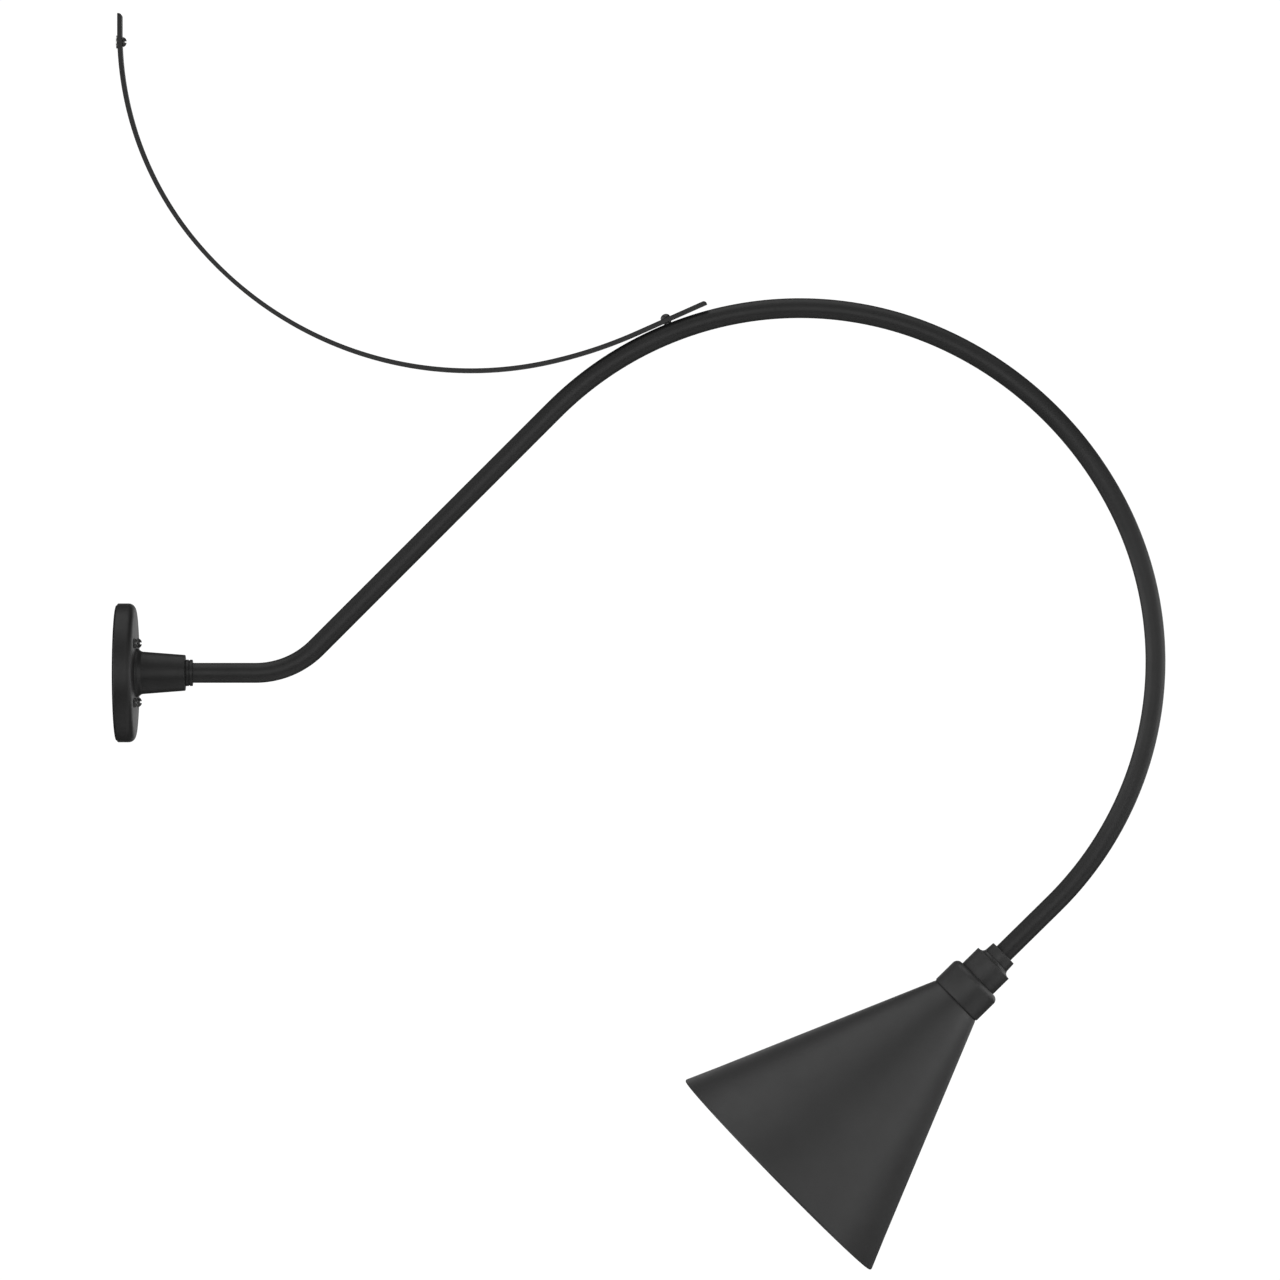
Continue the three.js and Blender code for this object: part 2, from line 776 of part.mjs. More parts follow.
// A hollow bulb that flares from its neck to a ball.
function bulbGlass() {
  const { baseEnd, neck, flare, ballFrom, radius, end, wall: thickness } = BULB;
  const envelope = (inset) => {
    const crown = arc(0, end - radius, radius - inset, ballFrom, 90, 6);
    crown[crown.length - 1][0] = 0;
    return [...flare.map(([out, on]) => [neck + out - inset, baseEnd + on]), ...crown];
  };
  return turned([...envelope(0), ...envelope(thickness).reverse()], 22);
}

head.add(named("bulb_base", bulbBase(), brass));
head.add(named("bulb_contact", bulbContact(), darkSteel));
head.add(named("bulb_glass", bulbGlass(), frostedGlass));

// ---- leads ----

// A lead from the canopy's open back, through the arm, to the back of the socket.
function lead(y) {
  const path = armPath(WIRE.outAt, ARM.tail + SOCKET.from - GAP, { y, stepDegrees: 8 });
  return sweptDisc(WIRE.radius, path, WIRE.sides);
}

function groundWire() {
  const route = new THREE.CatmullRomCurve3(GROUND_WIRE_ROUTE.map(([x, z]) => new THREE.Vector3(x, 0, z)));
  const options = { steps: 10, extrudePath: route, bevelEnabled: false };
  return solid(new THREE.ExtrudeGeometry(circleShape(WIRE.radius, WIRE.sides), options));
}

light.add(named("hot_wire", lead(-WIRE.apart), blackSleeve));
light.add(named("neutral_wire", lead(WIRE.apart), whiteSleeve));
light.add(named("ground_wire", groundWire(), greenSleeve));

export default light;
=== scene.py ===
"""Gooseneck wall light: the finished look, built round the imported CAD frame.

Everything is in the CAD frame: the wall is the plane X = 0, +X leaves the wall, +Z is up, and the
arm lies in the plane Y = 0. Dimensions here are millimetres until a mesh is made, which is in metres.
"""
import math

import bmesh
import bpy
from mathutils import Matrix, Vector


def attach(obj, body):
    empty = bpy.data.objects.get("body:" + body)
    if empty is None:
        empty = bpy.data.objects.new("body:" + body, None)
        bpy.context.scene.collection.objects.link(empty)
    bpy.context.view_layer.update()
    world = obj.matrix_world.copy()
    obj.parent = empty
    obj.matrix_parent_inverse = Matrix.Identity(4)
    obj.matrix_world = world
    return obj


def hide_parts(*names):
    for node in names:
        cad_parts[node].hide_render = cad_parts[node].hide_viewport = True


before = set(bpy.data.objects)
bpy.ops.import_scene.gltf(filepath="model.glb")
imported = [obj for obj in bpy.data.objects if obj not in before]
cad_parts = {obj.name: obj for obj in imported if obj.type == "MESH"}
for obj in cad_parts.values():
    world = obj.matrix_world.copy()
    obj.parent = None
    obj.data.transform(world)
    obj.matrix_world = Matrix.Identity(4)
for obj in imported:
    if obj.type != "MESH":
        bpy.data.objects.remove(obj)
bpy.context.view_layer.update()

MM = 0.001
ON_AXIS = 1e-4  # a radius below this is on the axis, in millimetres

# ---- camera ----

VIEW_CENTRE = Vector((0.5578, 0.0, 0.0350))
VIEW_DISTANCE = 8.2
VIEW_WIDTH = 1.3632  # what the frame spans at the object, in metres
SENSOR = 36.0

camera = bpy.data.objects.new("camera", bpy.data.cameras.new("camera"))
camera.data.sensor_width = SENSOR
camera.data.lens = SENSOR * VIEW_DISTANCE / VIEW_WIDTH
camera.data.clip_end = 60.0
camera.location = VIEW_CENTRE - Vector((0.0, VIEW_DISTANCE, 0.0))
camera.rotation_euler = (math.radians(90.0), 0.0, 0.0)
bpy.context.scene.collection.objects.link(camera)
bpy.context.scene.camera = camera

# ---- dimensions, in millimetres ----

GAP = 0.3
PIPE_RADIUS = 10.65
PIPE_BORE = 8.35
THREAD_BORE = PIPE_RADIUS + GAP
WIRE_WAY = 8.0

CANOPY_BACK = 1.5
CANOPY_FACE = 20.8
CANOPY_RADIUS = 74.0
CANOPY_EDGE = 7.5  # radius of its rounded front edge
CAVITY_RADIUS = 64.0
CAVITY_END = 16.3
HUB_END = 73.8
PIPE_SEAT = 44.0
SCREW_CIRCLE = 44.45
WALL_NUT_FROM = 74.2
WALL_NUT_TO = 81.6
WALL_NUT_RADIUS = 14.1
WALL_NUT_GROOVE = 13.4
SET_SCREW_X = 60.0
SET_SCREW_LENGTH = 8.2
GROUND_Z = -32.0
GROUND_BOSS_END = 12.8

ARM_START = PIPE_SEAT + 1.0
ARM_STUB = 148.3 - ARM_START
ARM_BENDS = [(92.1, 45.0), 358.2, (369.3, -69.3), (390.8, -39.2), (362.3, -72.0)]
ARM_TAIL = 74.6
PIPE_PAST_TIP = 34.0

STAY_THICK = 4.8
STAY_WIDTH = 19.0
STAY_TOP = 702.2
STAY_BENDS = [21.0, (346.3, 39.0), (382.0, 63.0), (489.9, 12.0), 80.6]
STAY_TIP = 3.6  # radius that rounds off the outer face at each tip
STAY_CORNER = 2.0  # radius of the tips' corners, seen from above the bar
STAY_SCREW_Z = 671.8
STAY_SCREW_FROM_END = 46.5
STAY_EDGE = 0.4  # how far its long edges are rounded
ARM_SCREW_LENGTH = 12.0

WASHER_RADIUS = 6.9
COLLAR_RADIUS = 4.2
COLLAR_LENGTH = 4  # before the pipe's shape is cut from it

HEAD_RADIUS = 5.3
HEAD_HEIGHT = 4.3
SHANK = 2.4
SLOT_WIDTH = 1.8
SLOT_DEPTH = 2.2

# Along the shade's axis, from the end of the arm.
LOCK_FROM, LOCK_TO = 0.2, 11.05
HUB_FROM, HUB_TO = 11.1, 38.9
NECK_ROOF, NECK_TO = 42.0, 71.1
NECK_INSIDE = 28.4
NECK_OUTSIDE = 30.9
NECK_CORNER = 6.7
CONE_FROM = 72.7
CONE_TO = 337.8
CONE_SLOPE = math.tan(math.radians(22.71))
CONE_WALL = 1.4
CONE_BEAD = 1.9
BEAD_BLACK_STEPS = 14  # how far round the bead the black coat reaches
SHADE_OPENING = 20.5
SEAL_RADIUS = 30.0
SMALL_BORE = 1.9
STRAP_FROM, STRAP_TO = 49.0, 50.2
SOCKET_BACK = 50.5
SOCKET_FLOOR = 62.2
SOCKET_END = 92.0
THREAD_PITCH = 3.629  # seven turns to the inch
BULB_MIDDLE = 147
BULB_RADIUS = 30
BULB_WALL = 0.9
WIRE_RADIUS = 1.5
WIRE_APART = 2.3  # how far each lead is from the arm's plane
LEADS_OUT_AT = 1  # where the leads end behind the canopy


# ---- outlines ----

def arc(x, y, radius, start, end, steps=12):
    """Points on an arc; angles in degrees."""
    angles = [math.radians(start + (end - start) * i / steps) for i in range(steps + 1)]
    return [(x + radius * math.cos(a), y + radius * math.sin(a)) for a in angles]


def rounded(corners, steps=5):
    """A closed outline from (x, y) or (x, y, fillet radius) corners."""
    points = []
    count = len(corners)
    for i, corner in enumerate(corners):
        here = Vector(corner[:2])
        if len(corner) < 3:
            points.append(tuple(here))
            continue
        before = Vector(corners[i - 1][:2]) - here
        after = Vector(corners[(i + 1) % count][:2]) - here
        half = before.angle(after) / 2
        length = min(corner[2] / math.tan(half), 0.98 * before.length, 0.98 * after.length)
        radius = length * math.tan(half)
        middle = (before.normalized() + after.normalized()).normalized()
        centre = here + middle * (radius / math.sin(half))
        first = here + before.normalized() * length - centre
        last = here + after.normalized() * length - centre
        turn = first.angle_signed(last)
        for k in range(steps + 1):
            spoke = first.copy()
            spoke.rotate(Matrix.Rotation(-turn * k / steps, 2))
            points.append(tuple(centre + spoke))
    return points


def bent_path(x, z, heading, stretches, step=1.5):
    """(x, z, heading) places along straight stretches (a length) and arcs (a radius and a turn).

    A stretch starts in the direction the last one ended in. step is the arcs' step in degrees.
    """
    heading = math.radians(heading)
    places = [(x, z, heading)]
    for stretch in stretches:
        if isinstance(stretch, tuple):
            radius, turn = stretch
            steps = max(1, math.ceil(abs(turn) / step))
            side = math.copysign(radius, turn)
            for _ in range(steps):
                after = heading + math.radians(turn) / steps
                x += side * (math.sin(after) - math.sin(heading))
                z -= side * (math.cos(after) - math.cos(heading))
                heading = after
                places.append((x, z, heading))
        else:
            x += stretch * math.cos(heading)
            z += stretch * math.sin(heading)
            places.append((x, z, heading))
    return places


def smooth_points(knots, steps=6):
    """Points on the smooth curve from the second knot to the last but one, without its last point."""
    points = []
    for a, b, c, d in zip(knots, knots[1:], knots[2:], knots[3:]):
        for k in range(steps):
            t = k / steps
            square = 2 * a - 5 * b + 4 * c - d
            cube = 3 * b - a - 3 * c + d
            points.append(0.5 * (2 * b + (c - a) * t + square * t * t + cube * t**3))
    return points


# ---- meshes ----

def axis_frame(x, z, heading):
    """A frame whose +Z points along a heading in the XZ plane; x and z in millimetres."""
    turned = Matrix.Rotation(math.radians(90 - heading), 4, "Y")
    return Matrix.Translation((x * MM, 0, z * MM)) @ turned @ Matrix.Scale(MM, 4)


class Shape:
    """Vertices in millimetres, faces, and a material number for each face."""

    def __init__(self):
        self.points = []
        self.faces = []
        self.finish = []

    def add(self, points, faces):
        start = len(self.points)
        self.points += [Vector(p) for p in points]
        self.faces += [[start + i for i in face] for face in faces]
        self.finish += [0] * len(faces)
        return self

    def moved(self, matrix):
        self.points = [matrix @ p for p in self.points]
        return self


def turned(outline, sides=96, finish=None):
    """A body turned round local Z from a closed outline of (radius, z).

    finish(i) gives the material number of the faces between outline points i and i + 1.
    """
    shape = Shape()
    rings = []
    for radius, z in outline:
        if radius < ON_AXIS:
            rings.append([len(shape.points)] * sides)
            shape.points.append(Vector((0, 0, z)))
            continue
        rings.append(list(range(len(shape.points), len(shape.points) + sides)))
        for k in range(sides):
            angle = 2 * math.pi * k / sides
            shape.points.append(Vector((radius * math.cos(angle), radius * math.sin(angle), z)))
    for i, ring in enumerate(rings):
        after = rings[(i + 1) % len(rings)]
        if ring[0] == ring[1] and after[0] == after[1]:
            continue
        for k in range(sides):
            n = (k + 1) % sides
            corners = [ring[k], ring[n], after[n], after[k]]
            shape.faces.append(list(dict.fromkeys(corners)))
            shape.finish.append(finish(i) if finish else 0)
    return shape


def swept(places, section, cap=True):
    """A body swept along (x, z, heading) places. section(i) gives its (left, y) points at place i."""
    shape = Shape()
    count = len(section(0))
    for i, (x, z, heading) in enumerate(places):
        for left, y in section(i):
            shape.points.append(Vector((x - left * math.sin(heading), y, z + left * math.cos(heading))))
    for i in range(len(places) - 1):
        for k in range(count):
            n = (k + 1) % count
            a, b = i * count, (i + 1) * count
            shape.faces.append([a + k, a + n, b + n, b + k])
    if cap:
        last = (len(places) - 1) * count
        shape.faces.append([count - 1 - k for k in range(count)])
        shape.faces.append([last + k for k in range(count)])
    shape.finish = [0] * len(shape.faces)
    return shape


def tube(places, outer, inner, sides=72):
    """A pipe along the places, open right through."""
    shape = Shape()
    rings = []
    for radius in (outer, inner):
        circle = arc(0, 0, radius, 0, 360 - 360 / sides, sides - 1)
        wall = swept(places, lambda i: circle, cap=False)
        rings.append(len(shape.points))
        shape.add(wall.points, wall.faces)
    ends = [0, (len(places) - 1) * sides]
    for k in range(sides):
        n = (k + 1) % sides
        for end in ends:
            outside, inside = rings[0] + end, rings[1] + end
            shape.faces.append([outside + k, outside + n, inside + n, inside + k])
            shape.finish.append(0)
    return shape


def rod(radius, start, end, x=0.0, y=0.0, sides=40):
    """A cutter or plain round bar along local Z."""
    return turned([(0, start), (radius, start), (radius, end), (0, end)], sides).moved(
        Matrix.Translation((x, y, 0))
    )


def block(width, depth, height, z):
    """A box with its middle on local Z, at z."""
    half = Vector((width / 2, depth / 2, height / 2))
    points = [
        (i * half.x, j * half.y, z + k * half.z)
        for i in (-1, 1)
        for j in (-1, 1)
        for k in (-1, 1)
    ]
    faces = [(0, 1, 3, 2), (4, 6, 7, 5), (0, 4, 5, 1), (2, 3, 7, 6), (0, 2, 6, 4), (1, 5, 7, 3)]
    return Shape().add(points, faces)


def make_object(name, shape, placing):
    """A mesh object of a shape, its faces turned outward."""
    mesh = bpy.data.meshes.new(name)
    mesh.from_pydata([placing @ p for p in shape.points], [], shape.faces)
    mesh.polygons.foreach_set("material_index", shape.finish)
    faces = bmesh.new()
    faces.from_mesh(mesh)
    bmesh.ops.recalc_face_normals(faces, faces=faces.faces)
    faces.to_mesh(mesh)
    faces.free()
    piece = bpy.data.objects.new(name, mesh)
    bpy.context.scene.collection.objects.link(piece)
    return piece


def combined(piece, operation, shapes, placing):
    """Cuts shapes from a piece, or joins them to it."""
    others = [make_object("tool", shape, placing) for shape in shapes]
    for other in others:
        for material in piece.data.materials:
            other.data.materials.append(material)
        modifier = piece.modifiers.new(operation, "BOOLEAN")
        modifier.operation = operation
        modifier.solver = "EXACT"
        modifier.object = other
    graph = bpy.context.evaluated_depsgraph_get()
    made = bpy.data.meshes.new_from_object(piece.evaluated_get(graph))
    old = piece.data
    piece.modifiers.clear()
    piece.data = made
    bpy.data.meshes.remove(old)
    made.name = piece.name
    for other in others:
        bpy.data.meshes.remove(other.data)


def build(name, shape, placing, materials, body, node, cuts=(), joins=(), sharp=28):
    """A finished piece that stands for a CAD node."""
    piece = make_object(name, shape, placing)
    for material in materials:
        piece.data.materials.append(material)
    if joins:
        combined(piece, "UNION", joins, placing)
    if cuts:
        combined(piece, "DIFFERENCE", cuts, placing)
    piece.data.polygons.foreach_set("use_smooth", [True] * len(piece.data.polygons))
    piece.data.set_sharp_from_angle(angle=math.radians(sharp))
    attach(piece, body)
    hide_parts(node)


# ---- materials ----

NOISE_LOW, NOISE_HIGH = 0.3, 0.7  # where most of a noise's values lie
NOISE_ROUGHNESS = 0.55


class Nodes:
    """A material under construction: its node tree, its shader, and object coordinates in metres."""

    def __init__(self, name):
        self.material = bpy.data.materials.new(name)
        self.material.use_nodes = True
        self.tree = self.material.node_tree
        self.shader = self.tree.nodes["Principled BSDF"]
        self.place = self.tree.nodes.new("ShaderNodeTexCoord").outputs["Object"]

    def noise(self, size, detail=3.0):
        """Noise whose lumps are about size metres across."""
        node = self.tree.nodes.new("ShaderNodeTexNoise")
        node.inputs["Scale"].default_value = 1.0 / size
        node.inputs["Detail"].default_value = detail
        node.inputs["Roughness"].default_value = NOISE_ROUGHNESS
        self.tree.links.new(self.place, node.inputs["Vector"])
        return node.outputs["Fac"]

    def ramp(self, factor, low, high):
        """A colour that runs from low to high over the noise's usual range."""
        node = self.tree.nodes.new("ShaderNodeValToRGB")
        stops = node.color_ramp.elements
        stops[0].position = NOISE_LOW
        stops[0].color = (*low, 1)
        stops[1].position = NOISE_HIGH
        stops[1].color = (*high, 1)
        self.tree.links.new(factor, node.inputs["Fac"])
        return node.outputs["Color"]

    def span(self, factor, low, high):
        """A number that runs from low to high over the noise's usual range."""
        node = self.tree.nodes.new("ShaderNodeMapRange")
        node.inputs["From Min"].default_value = NOISE_LOW
        node.inputs["From Max"].default_value = NOISE_HIGH
        node.inputs["To Min"].default_value = low
        node.inputs["To Max"].default_value = high
        self.tree.links.new(factor, node.inputs["Value"])
        return node.outputs["Result"]

    def bump(self, factor, height, below=None):
        """Relief of about height metres."""
        node = self.tree.nodes.new("ShaderNodeBump")
        node.inputs["Distance"].default_value = height
        self.tree.links.new(factor, node.inputs["Height"])
        if below:
            self.tree.links.new(below, node.inputs["Normal"])
        return node.outputs["Normal"]

    def set(self, **values):
        """Sets the shader's sockets, or links them where the value is another node's output."""
        for key, value in values.items():
            socket = self.shader.inputs[key.replace("_", " ")]
            if isinstance(value, bpy.types.NodeSocket):
                self.tree.links.new(value, socket)
            else:
                socket.default_value = value


def shaded(name, low, high, rough, patch, grain, depth, metal=0.0, fine=None, **more):
    """A finish with a mottled colour, an uneven gloss and a grained surface.

    low and high are the colours it runs between, and rough the two roughnesses. patch is the size of
    the mottles, and grain and depth are the size and height of the relief, all in metres. fine gives a
    second, smaller relief. metal and more go straight to the shader.
    """
    n = Nodes(name)
    colour = n.ramp(n.noise(patch), low, high)
    n.set(Base_Color=colour, Roughness=n.span(n.noise(patch * 0.4), *rough), Metallic=metal)
    normal = n.bump(n.noise(grain, detail=2.0), depth)
    if fine:
        normal = n.bump(n.noise(fine[0], detail=1.0), fine[1], normal)
    n.set(Normal=normal, **more)
    return n.material


def grey(level):
    return (level, level, level)


# Painted shade: the arm's and the canopy's copies of the black coat are darker than the shade's, standing
# in for the shade they lie in, and less glossy.
powder = shaded(
    "powder_coat", grey(0.02), grey(0.024), (0.44, 0.5), 0.05, 0.0022, 0.000035, fine=(0.0007, 0.00001)
)
cast_powder = shaded(
    "powder_coat_on_casting", grey(0.018), grey(0.024), (0.44, 0.54), 0.03, 0.0034, 0.00006,
    fine=(0.0009, 0.000018),
)
# Painted shade: the arm's and the stay's copy of the coat, darker than the shade's.
pipe_powder_painted_shade = shaded(
    "powder_coat_on_pipe_darkened_for_shade", grey(0.015), grey(0.018), (0.42, 0.48), 0.05, 0.0022, 0.00003,
    fine=(0.0007, 0.00001), Specular_IOR_Level=0.34,
)
# Painted shade: the canopy's copy of the coat, darker still.
canopy_powder_painted_shade = shaded(
    "powder_coat_on_canopy_darkened_for_shade", grey(0.009), grey(0.013), (0.4, 0.48), 0.03, 0.0034, 0.00005,
    fine=(0.0009, 0.000015), Specular_IOR_Level=0.36,
)
enamel = shaded(
    "white_enamel", (0.78, 0.77, 0.74), (0.82, 0.81, 0.78), (0.34, 0.42), 0.08, 0.012, 0.00001
)
screw_black = shaded(
    "blackened_screw", grey(0.03), grey(0.045), (0.28, 0.4), 0.004, 0.0012, 0.00002, metal=0.3
)
zinc = shaded(
    "zinc_plate", (0.5, 0.5, 0.48), (0.62, 0.62, 0.6), (0.24, 0.4), 0.006, 0.0018, 0.00001, metal=1.0
)
green_zinc = shaded(
    "green_dyed_steel", (0.03, 0.2, 0.07), (0.05, 0.28, 0.1), (0.3, 0.42), 0.004, 0.001, 0.00001, metal=0.6
)
brass = shaded(
    "brass", (0.62, 0.42, 0.15), (0.72, 0.5, 0.2), (0.2, 0.36), 0.008, 0.001, 0.000006, metal=1.0
)
rubber = shaded("rubber", grey(0.012), grey(0.018), (0.75, 0.85), 0.01, 0.0008, 0.00002)
porcelain = shaded(
    "glazed_porcelain", (0.78, 0.76, 0.7), (0.84, 0.82, 0.77), (0.1, 0.18), 0.02, 0.008, 0.00002,
    Coat_Weight=0.5,
)
frosted = shaded(
    "frosted_glass", (0.84, 0.83, 0.8), (0.9, 0.89, 0.86), (0.3, 0.38), 0.02, 0.0006, 0.000004,
    Transmission_Weight=0.12,
)
insulator = shaded("black_glass_insulator", grey(0.01), grey(0.016), (0.12, 0.2), 0.004, 0.002, 0.00001)
copper = shaded(
    "copper", (0.72, 0.3, 0.16), (0.8, 0.38, 0.22), (0.25, 0.4), 0.002, 0.0006, 0.00001, metal=1.0
)
SLEEVE = ((0.4, 0.5), 0.01, 0.0015, 0.00001)
black_sleeve = shaded("black_sleeve", grey(0.014), grey(0.02), *SLEEVE)
white_sleeve = shaded("white_sleeve", grey(0.68), grey(0.74), *SLEEVE)
green_sleeve = shaded("green_sleeve", (0.02, 0.16, 0.05), (0.03, 0.2, 0.07), *SLEEVE)


# ---- common pieces ----

# A screw's head radius, head height, shank radius, slot width and slot depth.
ROUND_HEAD = (HEAD_RADIUS, HEAD_HEIGHT, SHANK, SLOT_WIDTH, SLOT_DEPTH)
GROUND_HEAD = (4.2, 2.6, 1.7, 1.0, 1.2)
SMALL_HEAD = (2.9, 2.0, 1.5, 0.8, 0.9)


def screw_shape(length, radius, height, shank):
    """A round-head screw, its seat at z = 0; its slot is cut afterwards."""
    dome = [(radius * x, height * y) for x, y in arc(0, 0, 1, 14, 90, 14)]
    dome[-1] = (0.0, height)
    foot = [(0, -length), (shank * 0.7, -length), (shank, -length + 1), (shank, 0), (radius - 0.2, 0)]
    return turned([*foot, (radius, 0.2), *dome], 64)


def screw(
    name, node, body, placing, length, slot_turn=0.0, sizes=ROUND_HEAD, material=screw_black,
    slot="black_screw",
):
    """A finished screw; slot_turn turns its slot, in degrees."""
    radius, height, shank, width, depth = sizes
    cutter = block(width, radius * 3, depth * 2, height)
    placing = placing @ Matrix.Rotation(math.radians(slot_turn), 4, "Z")
    shape = screw_shape(length, radius, height, shank)
    build(name, shape, placing, [material], body, node, cuts=[cutter])


def around(count, radius, first):
    """(x, y) places round a circle, the first at an angle in degrees."""
    angles = [math.radians(first + 360 * i / count) for i in range(count)]
    return [(radius * math.cos(a), radius * math.sin(a)) for a in angles]


# ---- wall canopy ----

wall = axis_frame(0, 0, 0)
screw_places = around(4, SCREW_CIRCLE, 45)

canopy_outline = rounded(  # from the hub's bore, round the cavity and the rim, and up the tapered hub
    [
        (THREAD_BORE, PIPE_SEAT),
        (WIRE_WAY, PIPE_SEAT),
        (WIRE_WAY, CAVITY_END, 1.5),
        (CAVITY_RADIUS - 2, CAVITY_END, 4),
        (CAVITY_RADIUS, CANOPY_BACK),
        (CANOPY_RADIUS, CANOPY_BACK, 1.2),
        (CANOPY_RADIUS, CANOPY_FACE, CANOPY_EDGE),
        (26.6, CANOPY_FACE, 1.0),
        (25.6, 23.6, 0.8),
        (22.7, 27.4, 4.0),
        (19.1, HUB_END, 0.9),
        (THREAD_BORE, HUB_END, 0.4),
    ],
    steps=8,
)
canopy_cuts = [rod(SHANK + GAP, 0, CANOPY_FACE + 1, x, y) for x, y in screw_places]
canopy_cuts.append(rod(2, GROUND_BOSS_END - 1, GROUND_BOSS_END + 5.6, -GROUND_Z))
sideways = Matrix.Rotation(-math.pi / 2, 4, "X")
set_screw_hole = rod(2.8, 0, 26.5, sides=32).moved(Matrix.Translation((0, 0, SET_SCREW_X)) @ sideways)
canopy_cuts.append(set_screw_hole)
ground_boss = rod(5, GROUND_BOSS_END, CAVITY_END + 1, -GROUND_Z)
build(
    "canopy_casting", turned(canopy_outline, 192), wall, [canopy_powder_painted_shade], "arm",
    "wall_canopy", cuts=canopy_cuts, joins=[ground_boss],
)
gasket_outline = rounded([(62.5, 0, 0.4), (72, 0, 0.4), (72, 1.2, 0.4), (62.5, 1.2, 0.4)], steps=4)
build("canopy_foam_ring", turned(gasket_outline, 160), wall, [rubber], "arm", "wall_gasket")

nut_middle = (WALL_NUT_FROM + WALL_NUT_TO) / 2
nut_outline = rounded(  # it starts at the hub's end, so that no light shows between the two
    [
        (THREAD_BORE, HUB_END),
        (WALL_NUT_RADIUS, HUB_END, 0.7),
        (WALL_NUT_RADIUS, nut_middle - 0.8, 0.25),
        (WALL_NUT_GROOVE, nut_middle - 0.3, 0.2),
        (WALL_NUT_GROOVE, nut_middle + 0.3, 0.2),
        (WALL_NUT_RADIUS, nut_middle + 0.8, 0.25),
        (WALL_NUT_RADIUS, WALL_NUT_TO, 0.7),
        (THREAD_BORE, WALL_NUT_TO, 0.3),
    ]
)
build(
    "canopy_lock_ring", turned(nut_outline, 96), wall, [canopy_powder_painted_shade], "arm",
    "wall_lock_nut",
)

set_screw_place = Matrix.Translation((SET_SCREW_X * MM, 0, 0)) @ sideways @ Matrix.Scale(MM, 4)
set_screw_end = THREAD_BORE + SET_SCREW_LENGTH
set_outline = rounded(
    [
        (0, THREAD_BORE),
        (1.6, THREAD_BORE),
        (2.5, THREAD_BORE + 0.9),
        (2.5, set_screw_end, 0.3),
        (0, set_screw_end),
    ]
)
build(
    "canopy_grub_screw", turned(set_outline, 48), set_screw_place, [screw_black], "arm",
    "arm_set_screw", cuts=[rod(1.3, THREAD_BORE + 5.7, THREAD_BORE + 9, sides=6)],
)
for i, (x, y) in enumerate(screw_places):
    place = wall @ Matrix.Translation((x, y, CANOPY_FACE + GAP))
    screw(f"canopy_round_head_{i + 1}", f"canopy_screw_{i + 1}", "arm", place, CANOPY_FACE - GAP)

ground_seat = Matrix.Translation((-GROUND_Z, 0, GROUND_BOSS_END - GAP))
ground_place = wall @ ground_seat @ Matrix.Rotation(math.pi, 4, "X")
screw(
    "canopy_earth_screw", "ground_screw", "arm", ground_place, 5.4, 35, GROUND_HEAD, green_zinc,
    "green_screw",
)

# ---- arm ----

arm_bends = [ARM_STUB, *ARM_BENDS]
tip_x, tip_z, tip_heading = bent_path(ARM_START, 0, 0, [*arm_bends, ARM_TAIL])[-1]
arm_places = bent_path(ARM_START, 0, 0, [*arm_bends, ARM_TAIL + PIPE_PAST_TIP], step=1.2)
world = Matrix.Scale(MM, 4)

stay_places = bent_path(CANOPY_BACK + STAY_THICK / 2, STAY_TOP, -90, STAY_BENDS, step=1.0)
stay_x, stay_z, stay_heading = stay_places[-1]
lift = STAY_THICK / 2 + GAP
arm_screw_place = axis_frame(
    stay_x - STAY_SCREW_FROM_END * math.cos(stay_heading) - lift * math.sin(stay_heading),
    stay_z - STAY_SCREW_FROM_END * math.sin(stay_heading) + lift * math.cos(stay_heading),
    math.degrees(stay_heading) + 90,
)
wall_seat = CANOPY_BACK + STAY_THICK + 2 * GAP
wall_screw_place = axis_frame(wall_seat, STAY_SCREW_Z, 0)
drill = rod(SHANK + GAP, -ARM_SCREW_LENGTH - 3, 2, sides=32)


def drilled(place):
    """The drill's shape at a screw's place, in world millimetres."""
    copy = Shape().add(drill.points, drill.faces)
    return copy.moved(Matrix.Scale(1 / MM, 4) @ place)


build(
    "arm_pipe", tube(arm_places, PIPE_RADIUS, PIPE_BORE), world, [pipe_powder_painted_shade], "arm",
    "gooseneck_arm", cuts=[drilled(arm_screw_place)],
)

# ---- stay ----

def tip_drop(distance, radius):
    """How far a rounded-off edge has dropped at a distance from the tip."""
    if distance >= radius:
        return 0.0
    return radius - math.sqrt(radius**2 - (radius - distance) ** 2)


def with_tips(places, reach, steps=8):
    """The places, with more of them within reach of each end."""
    made = []
    (x0, z0, h0), (x1, z1, h1) = places[0], places[-1]
    for i in range(steps):
        along = reach * (1 - math.cos(math.pi / 2 * i / steps))
        made.append((x0 + along * math.cos(h0), z0 + along * math.sin(h0), h0))
    made.append((x0 + reach * math.cos(h0), z0 + reach * math.sin(h0), h0))
    made += places[1:-1]
    made.append((x1 - reach * math.cos(h1), z1 - reach * math.sin(h1), h1))
    for i in reversed(range(steps)):
        along = reach * (1 - math.cos(math.pi / 2 * i / steps))
        made.append((x1 - along * math.cos(h1), z1 - along * math.sin(h1), h1))
    return made


stay_stations = with_tips(stay_places, STAY_TIP)


